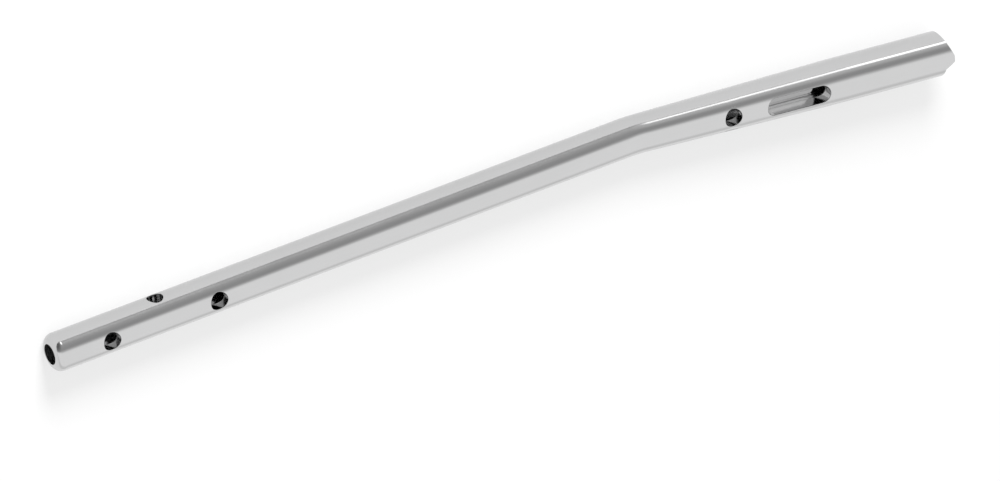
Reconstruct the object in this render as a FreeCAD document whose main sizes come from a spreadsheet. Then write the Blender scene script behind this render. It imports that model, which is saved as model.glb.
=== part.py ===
import FreeCAD, Part
import math
import os
import Sketcher

# A cannulated intramedullary nail: one round bar with a single bend, a bore
# along its whole length, cross holes and a slot for locking screws, and a
# threaded socket in its proximal end. Millimetres and degrees.
# The body's own axes: X along the distal axis with the tip face at zero, Y
# towards the convex side of the bend, Z across the plane of the bend. At the
# end of the file the body is laid on a floor the way the bent bar comes to
# rest: Z up, X along the proximal axis as seen from above, and the origin on
# the floor in the middle of the bar's box.

SIZES = [
    ("shaft_diameter", 11.0, "round shaft, from the tip to the bend"),
    ("distal_length", 185.3, "tip face to the point where the two axes meet"),
    ("proximal_length", 100.7, "from that point to the crest of the end"),
    ("bend_angle", 6.0, "angle between the two axes"),
    ("bend_radius", 60.0, "radius of the bent axis"),
    ("nose_radius", 2.4, "round at the outside of the tip"),
    ("head_diameter", 12.8, "round proximal part"),
    ("head_length", 34.0, "part that has the full head diameter"),
    ("cannula_diameter", 6.0, "bore for the guide wire"),
    ("side_hole_diameter", 5.2, "round holes from side to side"),
    ("front_hole_diameter", 4.5, "round hole from front to back"),
    ("first_hole_from_tip", 16.8, "side hole nearest the tip"),
    ("second_hole_from_tip", 33.7, "front to back hole"),
    ("third_hole_from_tip", 50.6, "side hole farthest from the tip"),
    ("head_hole_from_end", 71.2, "side hole in the proximal part"),
    ("slot_from_end", 50.2, "centre of the slot"),
    ("slot_width", 5.2, "slot across its length"),
    ("slot_length", 20.0, "slot over its round ends"),
    ("socket_diameter", 8.0, "plain wall of the threaded socket"),
    ("socket_depth", 22.0, "socket, from the crest of the end"),
    ("drill_point_angle", 118.0, "cone at the bottom of the socket"),
    ("crest_rear", 1.3, "crest, from the axis to the convex side"),
    ("crest_front", 0.4, "crest, from the axis to the concave side"),
    ("rear_bevel_angle", 23.0, "slope of the end on the convex side"),
    ("front_step", 2.5, "depth of the step on the concave side"),
    ("front_flank_angle", 51.0, "slope of the step's flank"),
    ("rim_chamfer", 0.25, "broken edge round the holes and the slot"),
    ("end_round", 0.3, "rounded outer edge of the proximal end"),
    ("cut_margin", 2.0, "how far a cutting outline runs past the bar"),
]

SHAFT_RADIUS = "Sizes.shaft_diameter / 2"
HEAD_RADIUS = "Sizes.head_diameter / 2"
CANNULA_RADIUS = "Sizes.cannula_diameter / 2"
SOCKET_RADIUS = "Sizes.socket_diameter / 2"
SIDE_HOLE_RADIUS = "Sizes.side_hole_diameter / 2"
FRONT_HOLE_RADIUS = "Sizes.front_hole_diameter / 2"
SLOT_RADIUS = "Sizes.slot_width / 2"
SLOT_REACH = "(Sizes.slot_length - Sizes.slot_width) / 2"
BEND_RUN = "Sizes.bend_radius * tan(Sizes.bend_angle / 2)"
BEND_START = f"Sizes.distal_length - {BEND_RUN}"
PAST_TIP = "-Sizes.cut_margin"
END = "Sizes.proximal_length"
PAST_END = f"{END} + Sizes.cut_margin"
PAST_SIDE = f"{HEAD_RADIUS} + Sizes.cut_margin"
SHOULDER = f"{END} - Sizes.head_length"
SOCKET_BOTTOM = f"{END} - Sizes.socket_depth"
SOCKET_POINT = f"({SOCKET_RADIUS} - {CANNULA_RADIUS}) / tan(Sizes.drill_point_angle / 2)"
REAR_DROP = f"({PAST_SIDE} - Sizes.crest_rear) * tan(Sizes.rear_bevel_angle)"
FLANK_RUN = "Sizes.front_step / tan(Sizes.front_flank_angle)"
FIRST_HOLE = "Sizes.first_hole_from_tip"
SECOND_HOLE = "Sizes.second_hole_from_tip"
THIRD_HOLE = "Sizes.third_hole_from_tip"
HEAD_HOLE = f"{END} - Sizes.head_hole_from_end"
SLOT_NEAR = f"{END} - Sizes.slot_from_end - {SLOT_REACH}"
SLOT_FAR = f"{END} - Sizes.slot_from_end + {SLOT_REACH}"
SHOULDER_OFFSET = f"({SHOULDER}) * sin(Sizes.bend_angle)"
ROLL = f"asin(({HEAD_RADIUS} - {SHAFT_RADIUS}) / ({SHOULDER_OFFSET}))"
YAW = f"atan(tan(Sizes.bend_angle) * cos({ROLL}))"

doc = FreeCAD.newDocument("nail")
sheet = doc.addObject("Spreadsheet::Sheet", "Sizes")
for row, (alias, size, note) in enumerate(SIZES, start=1):
    sheet.set(f"A{row}", alias)
    sheet.set(f"B{row}", str(size))
    sheet.set(f"C{row}", note)
    sheet.setAlias(f"B{row}", alias)
doc.recompute()
nail = doc.addObject("PartDesign::Body", "nail")
nail.Label = "nail"


def number(expression):
    """The present value of an expression on the sheet."""
    return float(sheet.evalExpression(expression))


# Sketches

START, FINISH, CENTRE = 1, 2, 3
ROOT_POINT = (-1, START)
FIRST_AXIS = -1
SECOND_AXIS = -2
UPRIGHT = FreeCAD.Vector(0, 0, 1)


def origin_plane(role):
    return next(item for item in nail.Origin.OriginFeatures if item.Role == role)


def new_sketch(name, support):
    sketch = nail.newObject("Sketcher::SketchObject", name)
    sketch.AttachmentSupport = [(support, "")]
    sketch.MapMode = "FlatFace"
    return sketch


def dimension(sketch, name, expression, kind, *places):
    """Add one named dimension and tie it to the sheet."""
    index = sketch.addConstraint(Sketcher.Constraint(kind, *places, number(expression)))
    sketch.renameConstraint(index, name)
    sketch.setExpression(f"Constraints.{name}", expression)


def hold_point(sketch, name, item, end, along, across):
    """Hold a point at two expressions; one that is zero puts it on an axis."""
    if along == "0":
        sketch.addConstraint(Sketcher.Constraint("PointOnObject", item, end, SECOND_AXIS))
    else:
        dimension(sketch, f"{name}_along", along, "DistanceX", *ROOT_POINT, item, end)
    if across == "0":
        sketch.addConstraint(Sketcher.Constraint("PointOnObject", item, end, FIRST_AXIS))
    else:
        dimension(sketch, f"{name}_across", across, "DistanceY", *ROOT_POINT, item, end)


def add_outline(sketch, corners):
    """Join corners, given as (name, along, across), into one closed outline."""
    points = [FreeCAD.Vector(number(along), number(across), 0) for _, along, across in corners]
    for point, following in zip(points, points[1:] + points[:1]):
        sketch.addGeometry(Part.LineSegment(point, following))
    for line, (name, along, across) in enumerate(corners):
        previous = (line - 1) % len(corners)
        sketch.addConstraint(Sketcher.Constraint("Coincident", previous, FINISH, line, START))
        hold_point(sketch, name, line, START, along, across)


def add_circle(sketch, name, along, radius):
    """A circle with its centre on the sketch's first axis."""
    centre = FreeCAD.Vector(number(along), 0, 0)
    item = sketch.addGeometry(Part.Circle(centre, UPRIGHT, number(radius)))
    hold_point(sketch, name, item, CENTRE, along, "0")
    dimension(sketch, f"{name}_radius", radius, "Radius", item)


def add_slot(sketch, near, far, radius):
    """A slot along the sketch's first axis, between the centres of its ends."""
    half = number(radius)
    quarter = math.pi / 2
    near_centre = FreeCAD.Vector(number(near), 0, 0)
    far_centre = FreeCAD.Vector(number(far), 0, 0)
    side = FreeCAD.Vector(0, half, 0)
    near_circle = Part.Circle(near_centre, UPRIGHT, half)
    far_circle = Part.Circle(far_centre, UPRIGHT, half)
    near_end = sketch.addGeometry(Part.ArcOfCircle(near_circle, quarter, 3 * quarter))
    low_side = sketch.addGeometry(Part.LineSegment(near_centre - side, far_centre - side))
    far_end = sketch.addGeometry(Part.ArcOfCircle(far_circle, -quarter, quarter))
    high_side = sketch.addGeometry(Part.LineSegment(far_centre + side, near_centre + side))
    chain = [near_end, low_side, far_end, high_side]
    for item, following in zip(chain, chain[1:] + chain[:1]):
        sketch.addConstraint(Sketcher.Constraint("Tangent", item, FINISH, following, START))
    sketch.addConstraint(Sketcher.Constraint("Equal", near_end, far_end))
    hold_point(sketch, "near_end", near_end, CENTRE, near, "0")
    hold_point(sketch, "far_end", far_end, CENTRE, far, "0")
    dimension(sketch, "end_radius", radius, "Radius", near_end)


def bend_section(name, radius):
    """A round section where the bend starts, with the line the bend turns about."""
    sketch = new_sketch(name, origin_plane("YZ_Plane"))
    place = FreeCAD.Vector(0, 0, number(BEND_START))
    sketch.AttachmentOffset = FreeCAD.Placement(place, FreeCAD.Rotation())
    sketch.setExpression("AttachmentOffset.Base.z", BEND_START)
    add_circle(sketch, "section", "0", radius)
    foot = FreeCAD.Vector(-number("Sizes.bend_radius"), 0, 0)
    top = foot + FreeCAD.Vector(0, number(radius), 0)
    line = sketch.addGeometry(Part.LineSegment(foot, top), True)
    sketch.addConstraint(Sketcher.Constraint("Vertical", line))
    hold_point(sketch, "line", line, START, "-Sizes.bend_radius", "0")
    dimension(sketch, "line_length", radius, "Distance", line)
    return sketch


# Features

EDGE_STEPS = 8
TOUCHING = 0.005


def turned(kind, name, profile):
    """Turn a profile once round its sketch's first axis."""
    feature = nail.newObject(f"PartDesign::{kind}", name)
    feature.Profile = profile
    feature.ReferenceAxis = (profile, ["H_Axis"])
    return feature


def bent(kind, name, section):
    """Sweep a section through the bend, towards the concave side."""
    feature = nail.newObject(f"PartDesign::{kind}", name)
    feature.Profile = section
    feature.ReferenceAxis = (section, ["Axis0"])
    feature.setExpression("Angle", "Sizes.bend_angle")
    feature.Reversed = True
    return feature


def cut_through(name, profile):
    feature = nail.newObject("PartDesign::Pocket", name)
    feature.Profile = profile
    feature.Type = "ThroughAll"
    feature.Midplane = True
    return feature


def dressed(kind, name, base, test):
    """Dress up the base's edges that pass a test at evenly spaced points."""
    doc.recompute()
    names = []
    for count, edge in enumerate(base.Shape.Edges, start=1):
        first, last = edge.ParameterRange
        places = [first + (last - first) * step / EDGE_STEPS for step in range(EDGE_STEPS + 1)]
        if all(test(edge.valueAt(place)) for place in places):
            names.append(f"Edge{count}")
    feature = nail.newObject(f"PartDesign::{kind}", name)
    feature.Base = (base, names)
    return feature


def off_axis(point):
    """Distance from the axis, in the frame that the point is given in."""
    return math.hypot(point.y, point.z)


def bar_radius(point):
    """Radius of the bar's outside next to a point given in the head's frame."""
    run = number(BEND_RUN)
    share = (point.x - run) / (number(SHOULDER) - run)
    rise = number(HEAD_RADIUS) - number(SHAFT_RADIUS)
    return number(SHAFT_RADIUS) + rise * min(max(share, 0), 1)


def in_frame(sketch, point):
    """The point as seen from a sketch, whose first two axes span its plane."""
    return sketch.Placement.inverse().multVec(point)


def on_wall(sketch, point, near, far, radius):
    """True on the wall of a round or slotted opening drawn in a sketch."""
    local = in_frame(sketch, point)
    nearest = min(max(local.x, near), far)
    return abs(math.hypot(local.x - nearest, local.y) - radius) < TOUCHING


# Plane of the bend, turned to the proximal axis, with its origin where the axes meet

head_plane = nail.newObject("PartDesign::Plane", "head_plane")
head_plane.AttachmentSupport = [(origin_plane("XY_Plane"), "")]
head_plane.MapMode = "FlatFace"
meeting_point = FreeCAD.Vector(number("Sizes.distal_length"), 0, 0)
turn = FreeCAD.Rotation(-UPRIGHT, number("Sizes.bend_angle"))
head_plane.AttachmentOffset = FreeCAD.Placement(meeting_point, turn)
head_plane.setExpression("AttachmentOffset.Base.x", "Sizes.distal_length")
head_plane.setExpression("AttachmentOffset.Rotation.Angle", "Sizes.bend_angle")
doc.recompute()

# Bar: straight shaft with a round nose, bend, then the cone and full size of the head

shaft_profile = new_sketch("shaft_profile", origin_plane("XY_Plane"))
add_outline(shaft_profile, [
    ("tip_axis", "0", "0"),
    ("tip_wall", "0", SHAFT_RADIUS),
    ("bend_wall", BEND_START, SHAFT_RADIUS),
    ("bend_axis", BEND_START, "0"),
])
shaft = turned("Revolution", "shaft", shaft_profile)


def on_tip_edge(point):
    return abs(point.x) < TOUCHING and off_axis(point) > number(CANNULA_RADIUS)


nose = dressed("Fillet", "nose", shaft, on_tip_edge)
nose.setExpression("Radius", "Sizes.nose_radius")
bar_section = bend_section("bar_section", SHAFT_RADIUS)
bend = bent("Revolution", "bend", bar_section)
head_profile = new_sketch("head_profile", head_plane)
add_outline(head_profile, [
    ("bend_axis", BEND_RUN, "0"),
    ("bend_wall", BEND_RUN, SHAFT_RADIUS),
    ("shoulder", SHOULDER, HEAD_RADIUS),
    ("end_wall", PAST_END, HEAD_RADIUS),
    ("end_axis", PAST_END, "0"),
])
head = turned("Revolution", "head", head_profile)

# Proximal end: a crest from side to side, a bevel behind it and a step in front

end_profile = new_sketch("end_profile", head_plane)
add_outline(end_profile, [
    ("crest_rear", END, "Sizes.crest_rear"),
    ("rear_side", f"{END} - {REAR_DROP}", PAST_SIDE),
    ("rear_outside", PAST_END, PAST_SIDE),
    ("front_outside", PAST_END, f"-({PAST_SIDE})"),
    ("front_side", f"{END} - Sizes.front_step", f"-({PAST_SIDE})"),
    ("step_foot", f"{END} - Sizes.front_step", f"-(Sizes.crest_front + {FLANK_RUN})"),
    ("crest_front", END, "-Sizes.crest_front"),
])
end_cut = cut_through("end_cut", end_profile)


def on_end_edge(point):
    """True on the outer edge that the end cut leaves."""
    local = in_frame(end_profile, point)
    lowest = number(f"{END} - {REAR_DROP}")
    return local.x > lowest and abs(off_axis(local) - number(HEAD_RADIUS)) < TOUCHING


end_edge = dressed("Fillet", "end_edge", end_cut, on_end_edge)
end_edge.setExpression("Radius", "Sizes.end_round")
doc.recompute()

# Bore: the cannula along the whole bar, then the wider socket

bore_profile = new_sketch("bore_profile", origin_plane("XY_Plane"))
add_outline(bore_profile, [
    ("tip_axis", PAST_TIP, "0"),
    ("tip_wall", PAST_TIP, CANNULA_RADIUS),
    ("bend_wall", BEND_START, CANNULA_RADIUS),
    ("bend_axis", BEND_START, "0"),
])
bore = turned("Groove", "bore", bore_profile)
bore_section = bend_section("bore_section", CANNULA_RADIUS)
bore_bend = bent("Groove", "bore_bend", bore_section)
socket_profile = new_sketch("socket_profile", head_plane)
add_outline(socket_profile, [
    ("bend_axis", BEND_RUN, "0"),
    ("bend_wall", BEND_RUN, CANNULA_RADIUS),
    ("socket_point", f"{SOCKET_BOTTOM} - {SOCKET_POINT}", CANNULA_RADIUS),
    ("socket_bottom", SOCKET_BOTTOM, SOCKET_RADIUS),
    ("end_wall", PAST_END, SOCKET_RADIUS),
    ("end_axis", PAST_END, "0"),
])
socket = turned("Groove", "socket", socket_profile)

# Cross holes and slot

side_holes = new_sketch("side_holes", origin_plane("XY_Plane"))
add_circle(side_holes, "first", FIRST_HOLE, SIDE_HOLE_RADIUS)
add_circle(side_holes, "third", THIRD_HOLE, SIDE_HOLE_RADIUS)
side_cut = cut_through("side_cut", side_holes)
front_hole = new_sketch("front_hole", origin_plane("XZ_Plane"))
add_circle(front_hole, "second", SECOND_HOLE, FRONT_HOLE_RADIUS)
front_cut = cut_through("front_cut", front_hole)
head_openings = new_sketch("head_openings", head_plane)
add_circle(head_openings, "head_hole", HEAD_HOLE, SIDE_HOLE_RADIUS)
add_slot(head_openings, SLOT_NEAR, SLOT_FAR, SLOT_RADIUS)
head_cut = cut_through("head_cut", head_openings)

OPENINGS = [
    (side_holes, FIRST_HOLE, FIRST_HOLE, SIDE_HOLE_RADIUS),
    (side_holes, THIRD_HOLE, THIRD_HOLE, SIDE_HOLE_RADIUS),
    (front_hole, SECOND_HOLE, SECOND_HOLE, FRONT_HOLE_RADIUS),
    (head_openings, HEAD_HOLE, HEAD_HOLE, SIDE_HOLE_RADIUS),
    (head_openings, SLOT_NEAR, SLOT_FAR, SLOT_RADIUS),
]


def on_rim(point):
    """True on an opening's rim at the outside of the bar."""
    local = in_frame(head_plane, point)
    if local.x > number(BEND_RUN):
        outside = abs(off_axis(local) - bar_radius(local)) < TOUCHING
    else:
        outside = abs(off_axis(point) - number(SHAFT_RADIUS)) < TOUCHING
    return outside and any(
        on_wall(sketch, point, number(near), number(far), number(radius))
        for sketch, near, far, radius in OPENINGS)


rims = dressed("Chamfer", "rims", head_cut, on_rim)
rims.setExpression("Size", "Sizes.rim_chamfer")
doc.recompute()

# Rest: the shaft lies along the floor, and the bar rolls over until the shoulder touches it too

roll = FreeCAD.Rotation(FreeCAD.Vector(-1, 0, 0), number(ROLL))
yaw = FreeCAD.Rotation(UPRIGHT, number(YAW))
nail.Placement = FreeCAD.Placement(FreeCAD.Vector(0, 0, number(SHAFT_RADIUS)), yaw * roll)
doc.recompute()
middle = nail.Shape.optimalBoundingBox(False, False).Center
nail.Placement.move(FreeCAD.Vector(-middle.x, -middle.y, 0))
doc.recompute()

# Checks, then the file

for item in doc.Objects:
    if "Invalid" in item.State or "Error" in item.State:
        raise RuntimeError(f"{item.Name} did not build: {item.State}")
if nail.Shape.isNull() or not nail.Shape.isValid():
    raise RuntimeError(f"{nail.Label} has no valid shape")
os.makedirs("parts", exist_ok=True)
nail.Shape.exportStep(f"parts/{nail.Label}.step")
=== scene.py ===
import math

import bpy
from mathutils import Matrix, Vector


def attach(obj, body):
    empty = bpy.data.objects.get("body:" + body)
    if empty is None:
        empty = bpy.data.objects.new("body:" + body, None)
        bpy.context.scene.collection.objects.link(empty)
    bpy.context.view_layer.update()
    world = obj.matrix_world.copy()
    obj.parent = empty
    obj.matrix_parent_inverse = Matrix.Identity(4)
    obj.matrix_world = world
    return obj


# The looks of a cannulated intramedullary nail lying on a white table: its satin metal, the
# thread in its proximal socket, the table, the studio round it and the camera. Metres.

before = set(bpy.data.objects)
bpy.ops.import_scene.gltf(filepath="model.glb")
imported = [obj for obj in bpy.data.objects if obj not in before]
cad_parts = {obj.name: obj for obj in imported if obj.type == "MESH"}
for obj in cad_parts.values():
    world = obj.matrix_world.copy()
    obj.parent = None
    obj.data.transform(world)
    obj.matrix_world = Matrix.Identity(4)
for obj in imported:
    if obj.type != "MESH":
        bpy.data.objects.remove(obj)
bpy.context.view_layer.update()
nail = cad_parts["nail"]

MM = 0.001
NOWHERE = (0.0, 0.0, 0.0)

# Lines of the bent bar: the shaft's axis runs from the tip to the bend, the head's axis from
# the bend to the proximal end. The convex side is where the bend bulges.

TIP = Vector((-142.370, -10.187, 5.500)) * MM
BEND = Vector((41.931, 9.022, 5.500)) * MM
SHAFT_AXIS = Vector((0.99461244, 0.10366334, 0.0))
HEAD_AXIS = Vector((0.99990896, 0.0, 0.01349325))
CONVEX_SIDE = Vector((-0.10279602, 0.98629081, -0.12908688))
UPPER_SIDE = Vector((-0.01338158, 0.12839142, 0.99163329))


# Node making

class Value:
    """A socket of a material or of the studio; sums on it add their Math nodes."""

    def __init__(self, graph, socket):
        self.graph = graph
        self.socket = socket

    def math(self, operation, *others):
        places = {place: value for place, value in enumerate((self, *others))}
        return self.graph.node("ShaderNodeMath", {"operation": operation}, places)

    def __add__(self, other):
        return self.math("ADD", other)

    def __radd__(self, other):
        return self.math("ADD", other)

    def __sub__(self, other):
        return self.math("SUBTRACT", other)

    def __rsub__(self, other):
        places = {0: other, 1: self}
        return self.graph.node("ShaderNodeMath", {"operation": "SUBTRACT"}, places)

    def __mul__(self, other):
        return self.math("MULTIPLY", other)

    def __rmul__(self, other):
        return self.math("MULTIPLY", other)

    def rise(self, start, finish):
        """Goes smoothly from 0 at start to 1 at finish."""
        settings = {"interpolation_type": "SMOOTHSTEP"}
        places = {"Value": self, "From Min": start, "From Max": finish}
        return self.graph.node("ShaderNodeMapRange", settings, places, "Result")

    def ramp(self, start, finish):
        """Goes in a straight line from 0 at start to 1 at finish."""
        settings = {"interpolation_type": "LINEAR"}
        places = {"Value": self, "From Min": start, "From Max": finish}
        return self.graph.node("ShaderNodeMapRange", settings, places, "Result")

    def between(self, start, full, fading, finish):
        """1 from full to fading, and 0 before start and past finish."""
        return self.rise(start, full) * (1 - self.rise(fading, finish))

    def towards(self, level, share):
        """Moves this number to a level by a share between 0 and 1."""
        return self + (level - self) * share


class Graph:
    """The nodes of one material or world."""

    def __init__(self, owner):
        owner.use_nodes = True
        self.tree = owner.node_tree
        self.tree.nodes.clear()

    def node(self, kind, settings, places, output=0):
        """Add a node: its settings first, then the numbers or links of its sockets."""
        made = self.tree.nodes.new(kind)
        for name, setting in settings.items():
            setattr(made, name, setting)
        for place, value in places.items():
            if isinstance(value, Value):
                self.tree.links.new(value.socket, made.inputs[place])
            else:
                made.inputs[place].default_value = value
        return Value(self, made.outputs[output]) if made.outputs else None

    def vector(self, operation, first, second):
        """A Vector Math node; Dot Product gives a number, the others a vector."""
        output = "Value" if operation == "DOT_PRODUCT" else "Vector"
        places = {0: first, 1: second}
        return self.node("ShaderNodeVectorMath", {"operation": operation}, places, output)

    def scaled(self, way, size):
        return self.node("ShaderNodeVectorMath", {"operation": "SCALE"}, {0: way, "Scale": size})

    def length(self, way):
        return self.node("ShaderNodeVectorMath", {"operation": "LENGTH"}, {0: way}, "Value")

    def seen_rays(self):
        """1 for what the camera sees, also in metal and through glass, and 0 for light."""
        camera = self.node("ShaderNodeLightPath", {}, {}, "Is Camera Ray")
        glossy = self.node("ShaderNodeLightPath", {}, {}, "Is Glossy Ray")
        through = self.node("ShaderNodeLightPath", {}, {}, "Is Transmission Ray")
        return (camera + glossy + through).math("MINIMUM", 1.0)

    def blend(self, share, first, second):
        """Goes from the first vector to the second by a share between 0 and 1."""
        settings = {"data_type": "VECTOR"}
        places = {"Factor": share, 4: first, 5: second}
        return self.node("ShaderNodeMix", settings, places, 1)


# Metal

SHAFT_RADIUS = 5.5
NOSE_RADIUS = 2.4
BEND_RUN = 3.144
SHOULDER = 66.7
HEAD_TAPER = 0.01415
BORE_RADIUS = 3.0
SOCKET_BOTTOM = 78.7
SIDE_HOLE_RADIUS = 2.6
FRONT_HOLE_RADIUS = 2.25
SLOT_REACH = 7.4
RIM_CHAMFER = 0.25

# How nearly a face of the mesh must agree with a turned or a drilled surface, and how far
# from a drilled wall or its rim it may lie

TURNED_AGREES = 0.93
DRILLED_AGREES = 0.9
WALL_MARGIN = 0.2
RIM_START = 0.05
RIM_MARGIN = 0.15

# Grinding grain: fine round the bar, longer along it

GRAIN_ROUND = 16.0
GRAIN_ALONG = 70.0
CLOUD_SCALE = 90.0
GRAIN_HEIGHT = 0.00001
GRAIN_STRENGTH = 0.06
GRAIN_TONE = 0.03
CLOUD_TONE = 0.02
GRAIN_GLOSS = 0.07
CLOUD_GLOSS = 0.05
BLUE_LIFT = 1.004

# Walls that cross the bar: a point on the axis, the way through, the way along, the half
# length between the centres of a slot's ends, and the radius

CROSS_WALLS = [
    (TIP + SHAFT_AXIS * 16.8 * MM, UPPER_SIDE, SHAFT_AXIS, 0.0, SIDE_HOLE_RADIUS),
    (TIP + SHAFT_AXIS * 33.7 * MM, CONVEX_SIDE, SHAFT_AXIS, 0.0, FRONT_HOLE_RADIUS),
    (TIP + SHAFT_AXIS * 50.6 * MM, UPPER_SIDE, SHAFT_AXIS, 0.0, SIDE_HOLE_RADIUS),
    (BEND + HEAD_AXIS * 29.5 * MM, UPPER_SIDE, HEAD_AXIS, 0.0, SIDE_HOLE_RADIUS),
    (BEND + HEAD_AXIS * 50.5 * MM, UPPER_SIDE, HEAD_AXIS, SLOT_REACH, SIDE_HOLE_RADIUS),
]


class Line:
    """A place measured from a straight line: how far along it, and how far off it."""

    def __init__(self, graph, place, start, axis):
        offset = graph.vector("SUBTRACT", place, start)
        self.along = graph.vector("DOT_PRODUCT", offset, axis)
        away = graph.vector("SUBTRACT", offset, graph.scaled(axis, self.along))
        self.off = graph.length(away)
        self.unit = graph.vector("NORMALIZE", away, NOWHERE)


def turned_outside(graph, place):
    """The way the turned outside of the bar faces, and its lines along shaft and head."""
    shaft = Line(graph, place, TIP, SHAFT_AXIS)
    head = Line(graph, place, BEND, HEAD_AXIS)
    nose = (shaft.along - NOSE_RADIUS * MM).math("MINIMUM", 0.0)
    lift = shaft.off - (SHAFT_RADIUS - NOSE_RADIUS) * MM
    shaft_way = graph.vector(
        "ADD", graph.scaled(shaft.unit, lift), graph.scaled(SHAFT_AXIS, nose))
    shaft_way = graph.vector("NORMALIZE", shaft_way, NOWHERE)
    before_shoulder = 1 - head.along.rise((SHOULDER - 0.3) * MM, (SHOULDER + 0.3) * MM)
    head_way = graph.vector(
        "ADD", head.unit, graph.scaled(HEAD_AXIS, before_shoulder * -HEAD_TAPER))
    past_bend = head.along.ramp(-BEND_RUN * MM, BEND_RUN * MM)
    way = graph.blend(past_bend, shaft_way, head_way)
    return graph.vector("NORMALIZE", way, NOWHERE), shaft, head, past_bend


def true_faces(graph, place, outside):
    """Surface directions as turned and drilled, with each opening's rim broken round."""
    mesh = graph.node("ShaderNodeNewGeometry", {}, {}, "True Normal")
    way = graph.node("ShaderNodeNewGeometry", {}, {}, "Normal")
    facing = graph.vector("DOT_PRODUCT", mesh, outside)
    turned = facing.math("GREATER_THAN", TURNED_AGREES)
    bored = facing.math("LESS_THAN", -TURNED_AGREES)
    way = graph.blend(turned, way, outside)
    way = graph.blend(bored, way, graph.scaled(outside, -1.0))
    free = (1 - turned) * (1 - bored)
    for centre, through, along, reach, radius in CROSS_WALLS:
        offset = graph.vector("SUBTRACT", place, centre)
        run = graph.vector("DOT_PRODUCT", offset, along)
        run = run.math("MINIMUM", reach * MM).math("MAXIMUM", -reach * MM)
        depth = graph.vector("DOT_PRODUCT", offset, through)
        off_run = graph.vector("SUBTRACT", offset, graph.scaled(along, run))
        off_axis = graph.vector("SUBTRACT", off_run, graph.scaled(through, depth))
        off = graph.length(off_axis)
        wall = graph.vector("NORMALIZE", graph.scaled(off_axis, -1.0), NOWHERE)
        near = (off - radius * MM).math("ABSOLUTE").math("LESS_THAN", WALL_MARGIN * MM)
        agrees = graph.vector("DOT_PRODUCT", mesh, wall)
        drilled = agrees.math("GREATER_THAN", DRILLED_AGREES) * near
        way = graph.blend(drilled, way, wall)
        across_rim = off.ramp(radius * MM, (radius + RIM_CHAMFER) * MM)
        rim = graph.vector("NORMALIZE", graph.blend(across_rim, wall, outside), NOWHERE)
        past_wall = off.math("GREATER_THAN", (radius - RIM_START) * MM)
        before_side = off.math("LESS_THAN", (radius + RIM_CHAMFER + RIM_MARGIN) * MM)
        broken = past_wall * before_side * free * (1 - drilled)
        way = graph.blend(broken, way, rim)
    return graph.vector("NORMALIZE", way, NOWHERE)


def satin_metal(name, base, gloss, bore_base, bore_gloss, turned=True):
    """Ground and satin polished steel, with a duller drilled bore inside."""
    material = bpy.data.materials.new(name)
    graph = Graph(material)
    place = graph.node("ShaderNodeTexCoord", {}, {}, "Object")
    outside, shaft, head, past_bend = turned_outside(graph, place)
    lay = graph.vector(
        "ADD", graph.scaled(outside, GRAIN_ROUND),
        graph.scaled(SHAFT_AXIS, shaft.along * GRAIN_ALONG))
    grain = graph.node("ShaderNodeTexNoise", {}, {
        "Vector": lay, "Scale": 1.0, "Detail": 3.0, "Roughness": 0.6})
    cloud = graph.node("ShaderNodeTexNoise", {}, {
        "Vector": place, "Scale": CLOUD_SCALE, "Detail": 2.0, "Roughness": 0.5})
    from_axis = shaft.off.towards(head.off, past_bend)
    socket = head.along.rise((SOCKET_BOTTOM - 2.0) * MM, (SOCKET_BOTTOM - 1.0) * MM)
    inner = (from_axis - socket * MM).rise((BORE_RADIUS + 0.1) * MM, (BORE_RADIUS + 0.4) * MM)
    inside = 1 - inner
    level = base + (grain - 0.5) * GRAIN_TONE + (cloud - 0.5) * CLOUD_TONE
    level = level.towards(bore_base, inside)
    roughness = gloss + (grain - 0.5) * GRAIN_GLOSS + (cloud - 0.5) * CLOUD_GLOSS
    roughness = roughness.towards(bore_gloss, inside)
    colour = graph.node("ShaderNodeCombineColor", {}, {
        "Red": level, "Green": level, "Blue": level * BLUE_LIFT})
    bump = {"Strength": GRAIN_STRENGTH, "Distance": GRAIN_HEIGHT, "Height": grain}
    if turned:
        bump["Normal"] = true_faces(graph, place, outside)
    relief = graph.node("ShaderNodeBump", {}, bump)
    surface = graph.node("ShaderNodeBsdfPrincipled", {}, {
        "Base Color": colour, "Metallic": 1.0, "Roughness": roughness, "Normal": relief})
    graph.node("ShaderNodeOutputMaterial", {}, {"Surface": surface})
    return material


nail_metal = satin_metal("nail_metal", base=0.56, gloss=0.13, bore_base=0.55, bore_gloss=0.2)
for slot in nail.material_slots:
    slot.material = nail_metal


# Thread of the proximal socket

THREAD_PITCH = 1.25
THREAD_ROOT = 4.02
THREAD_CREST = 3.42
THREAD_FLAT = 0.16
THREAD_FOOT = 0.85
THREAD_START = 80.2
THREAD_TURNS = 13
THREAD_STEPS = 48
RUN_OUT = 8

# Farther than a ring's own corners from its foot, and nearer than the next turn's

RING_REACH = 0.7
SAME_ANGLE = 0.01
THREAD_SMOOTH = 25


def pick_vertices(mesh, wanted):
    """Select, in edit mode, the vertices whose place passes a test."""
    bpy.ops.mesh.select_all(action="DESELECT")
    bpy.ops.object.mode_set(mode="OBJECT")
    for vertex in mesh.vertices:
        vertex.select = wanted(vertex.co)
    bpy.ops.object.mode_set(mode="EDIT")


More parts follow.
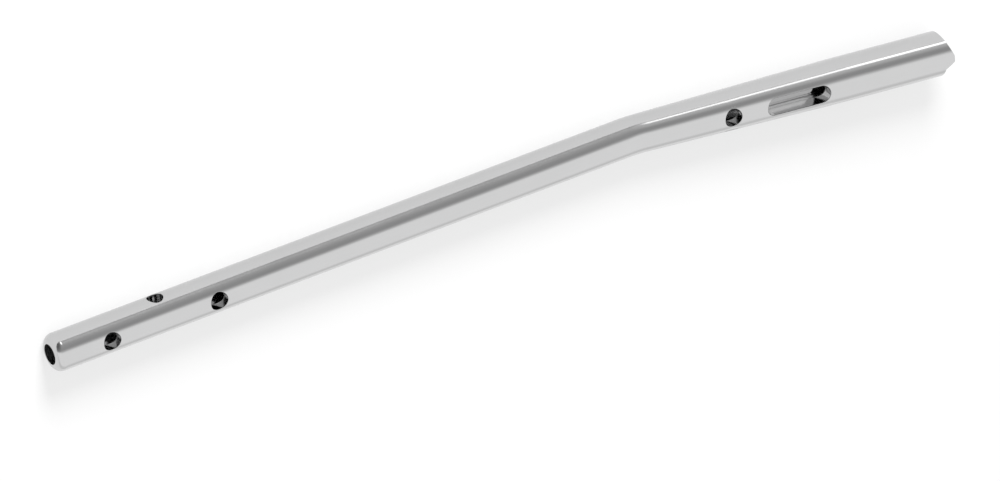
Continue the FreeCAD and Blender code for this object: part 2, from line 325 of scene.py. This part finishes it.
def socket_thread():
    """A helical ridge on the socket's wall, run out at both ends."""
    bpy.ops.object.select_all(action="DESELECT")
    quarter = math.radians(90)
    bpy.ops.mesh.primitive_plane_add(size=MM, rotation=(quarter, 0, 0))
    thread = bpy.context.object
    thread.name = "socket_thread"
    bpy.ops.object.transform_apply(location=True, rotation=True, scale=True)
    bpy.ops.object.mode_set(mode="EDIT")
    bpy.ops.mesh.select_mode(type="VERT")
    bpy.ops.mesh.select_all(action="SELECT")
    depth = THREAD_ROOT - THREAD_CREST
    middle = (THREAD_CREST + depth / 2) * MM
    bpy.ops.transform.resize(value=(depth, 1, THREAD_FOOT))
    bpy.ops.transform.translate(value=(middle, 0, 0))
    pick_vertices(thread.data, lambda place: place.x < middle)
    bpy.ops.transform.resize(value=(1, 1, THREAD_FLAT / THREAD_FOOT), center_override=(0, 0, 0))
    bpy.ops.mesh.select_all(action="SELECT")
    bpy.ops.mesh.delete(type="ONLY_FACE")
    bpy.ops.object.mode_set(mode="OBJECT")
    turns = thread.modifiers.new("turns", "SCREW")
    turns.axis = "Z"
    turns.screw_offset = THREAD_PITCH * MM
    turns.iterations = THREAD_TURNS
    turns.steps = THREAD_STEPS
    turns.render_steps = THREAD_STEPS
    turns.use_merge_vertices = False
    bpy.ops.object.modifier_apply(modifier="turns")
    bpy.ops.object.mode_set(mode="EDIT")
    corners = 4
    rings = len(thread.data.vertices) // corners
    for step in range(RUN_OUT):
        share = (step + 0.5) / RUN_OUT
        for ring in (step, rings - 1 - step):
            angle = 2 * math.pi * ring / THREAD_STEPS
            height = THREAD_PITCH * MM * ring / THREAD_STEPS
            wall = THREAD_ROOT * MM
            foot = Vector((wall * math.cos(angle), wall * math.sin(angle), height))

            def in_ring(place):
                off_angle = math.remainder(math.atan2(place.y, place.x) - angle, 2 * math.pi)
                return (place - foot).length < RING_REACH * MM and abs(off_angle) < SAME_ANGLE

            pick_vertices(thread.data, in_ring)
            bpy.ops.transform.resize(value=(share, share, share), center_override=foot)
    bpy.ops.mesh.select_all(action="SELECT")
    bpy.ops.mesh.fill_holes(sides=corners)
    bpy.ops.mesh.select_all(action="SELECT")
    bpy.ops.mesh.normals_make_consistent(inside=False)
    bpy.ops.object.mode_set(mode="OBJECT")
    bpy.ops.object.shade_smooth_by_angle(angle=math.radians(THREAD_SMOOTH))
    turn = Vector((0, 0, 1)).rotation_difference(HEAD_AXIS)
    thread.rotation_mode = "QUATERNION"
    thread.rotation_quaternion = turn
    thread.location = BEND + HEAD_AXIS * THREAD_START * MM
    bpy.ops.object.transform_apply(location=True, rotation=True, scale=True)
    return thread


thread = socket_thread()
thread_metal = satin_metal(
    "thread_metal", base=0.55, gloss=0.2, bore_base=0.5, bore_gloss=0.24, turned=False)
thread.data.materials.append(thread_metal)
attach(thread, "root")


# Table: white, with the bar's soft shadow

TABLE_SIZE = 40.0
TABLE_SHADE = 0.44
PAPER_WHITE = (0.9, 0.9, 0.9, 1.0)
FULL_WHITE = (1.0, 1.0, 1.0, 1.0)

bpy.ops.object.select_all(action="DESELECT")
bpy.ops.mesh.primitive_plane_add(size=TABLE_SIZE)
table = bpy.context.object
table.name = "table"
table_white = bpy.data.materials.new("table_white")
table_graph = Graph(table_white)
paper = table_graph.node("ShaderNodeBsdfDiffuse", {}, {"Color": PAPER_WHITE})
plain = table_graph.node("ShaderNodeEmission", {}, {"Color": FULL_WHITE})
seen = table_graph.seen_rays()
table_mix = table_graph.node("ShaderNodeMixShader", {}, {
    0: seen * (1 - TABLE_SHADE), 1: paper, 2: plain})
table_graph.node("ShaderNodeOutputMaterial", {}, {"Surface": table_mix})
table.data.materials.append(table_white)


# Studio: a room of soft panels round the bar, the same for the camera and for the metal.
# A direction is told by its turn round the shaft's axis, from the upper side to the convex
# side, and by its lean from the proximal end of that axis, both in degrees.

ROOM_LEVEL = 0.86
CEILING_LEVEL = 1.12
WALL_LEVEL = 0.54
WALL_FOOT = 0.42
TABLE_AMBIENT = 0.72

# Zones by turn: where each starts, is full, fades and ends. The seam, where the turn jumps
# by a full circle, lies opposite TURN_MIDDLE. AHEAD is the cosine of the lean.

TURN_MIDDLE = -30.0
CEILING_TURNS = (-86.0, -68.0, 8.0, 30.0)
WALL_TURNS = (8.0, 32.0, 102.0, 120.0)
WALL_BRIGHTENS = (34.0, 72.0)
HEAD_PANEL_TURNS = (42.0, 58.0, 68.0, 86.0)
HEAD_PANEL_AHEAD = (0.41, 0.47)
HEAD_PANEL_LIFT = 0.16

# Round spots: turn, lean, and the angles from that direction where they end and are full

DARK_SPOT = (90.0, 130.0, 52.0, 16.0)
DARK_LEVEL = 0.15
HIGHLIGHT_SPOT = (74.0, 55.0, 6.4, 1.5)
HIGHLIGHT_LIFT = 2.0
NOSE_SPOT = (70.0, 80.0, 12.0, 4.0)
NOSE_LIFT = 2.0


def direction(turn, lean):
    """The direction with this turn round the shaft and this lean from its proximal end."""
    around = math.radians(turn)
    across = UPPER_SIDE * math.cos(around) + CONVEX_SIDE * math.sin(around)
    return SHAFT_AXIS * math.cos(math.radians(lean)) + across * math.sin(math.radians(lean))


def studio_world():
    world = bpy.data.worlds.new("studio")
    graph = Graph(world)
    heading = graph.node("ShaderNodeTexCoord", {}, {}, "Generated")

    def spot(turn, lean, dark, full):
        """1 within full degrees of a direction, 0 past dark degrees from it."""
        facing = graph.vector("DOT_PRODUCT", heading, direction(turn, lean))
        return facing.rise(math.cos(math.radians(dark)), math.cos(math.radians(full)))

    forward = graph.vector("DOT_PRODUCT", heading, direction(TURN_MIDDLE, 90.0))
    sideways = graph.vector("DOT_PRODUCT", heading, direction(TURN_MIDDLE + 90.0, 90.0))
    ahead = graph.vector("DOT_PRODUCT", heading, SHAFT_AXIS)
    turn = sideways.math("ARCTAN2", forward) * math.degrees(1) + TURN_MIDDLE
    ceiling = turn.between(*CEILING_TURNS)
    room = ceiling * (CEILING_LEVEL - ROOM_LEVEL) + ROOM_LEVEL
    wall = turn.rise(*WALL_BRIGHTENS) * (WALL_LEVEL - WALL_FOOT) + WALL_FOOT
    room = room.towards(wall, turn.between(*WALL_TURNS))
    room = room.towards(DARK_LEVEL, spot(*DARK_SPOT))
    head_side = ahead.rise(*HEAD_PANEL_AHEAD)
    room = room + turn.between(*HEAD_PANEL_TURNS) * head_side * HEAD_PANEL_LIFT
    room = room + spot(*HIGHLIGHT_SPOT) * HIGHLIGHT_LIFT
    room = room + spot(*NOSE_SPOT) * NOSE_LIFT
    level = (room - TABLE_AMBIENT) * graph.seen_rays() + TABLE_AMBIENT
    back = graph.node("ShaderNodeBackground", {}, {"Color": FULL_WHITE, "Strength": level})
    graph.node("ShaderNodeOutputWorld", {}, {"Surface": back})
    return world


bpy.context.scene.world = studio_world()

# Lamp: a soft panel low on the convex side, so the shadow falls towards the concave side

LAMP_TURN = -8.0
LAMP_HEIGHT = 24.0
LAMP_DISTANCE = 2.0
LAMP_SIZE = 0.8
LAMP_POWER = 53.0

lamp_data = bpy.data.lights.new("side_panel", "AREA")
lamp_data.shape = "DISK"
lamp_data.size = LAMP_SIZE
lamp_data.energy = LAMP_POWER
lamp = bpy.data.objects.new("side_panel", lamp_data)
bpy.context.collection.objects.link(lamp)
lean = math.radians(LAMP_HEIGHT)
swing = math.radians(LAMP_TURN)
lamp_way = Vector((
    math.sin(swing) * math.cos(lean), math.cos(swing) * math.cos(lean), math.sin(lean)))
lamp.location = lamp_way * LAMP_DISTANCE
lamp.rotation_euler = lamp_way.to_track_quat("Z", "Y").to_euler()
lamp.visible_glossy = False
lamp.visible_camera = False

# Camera: looks down on the bar from its tip, rolled as the photograph has it

CAMERA_PLACE = Vector((-2.80822, 3.32583, 4.29348))
CAMERA_RIGHT = Vector((0.85560425, 0.05953428, 0.51419552))
CAMERA_UP = Vector((0.23896728, 0.83574287, -0.49439710))
CAMERA_BACK = Vector((-0.45916882, 0.54588417, 0.70083841))
LENS = 800.0
SENSOR = 36.0

camera_data = bpy.data.cameras.new("camera")
camera_data.lens = LENS
camera_data.sensor_width = SENSOR
camera_data.clip_start = 0.1
camera_data.clip_end = 100.0
camera = bpy.data.objects.new("camera", camera_data)
bpy.context.collection.objects.link(camera)
axes = Matrix((CAMERA_RIGHT, CAMERA_UP, CAMERA_BACK)).transposed()
camera.matrix_world = Matrix.Translation(CAMERA_PLACE) @ axes.to_4x4()
bpy.context.scene.camera = camera
bpy.context.scene.view_settings.view_transform = "Standard"
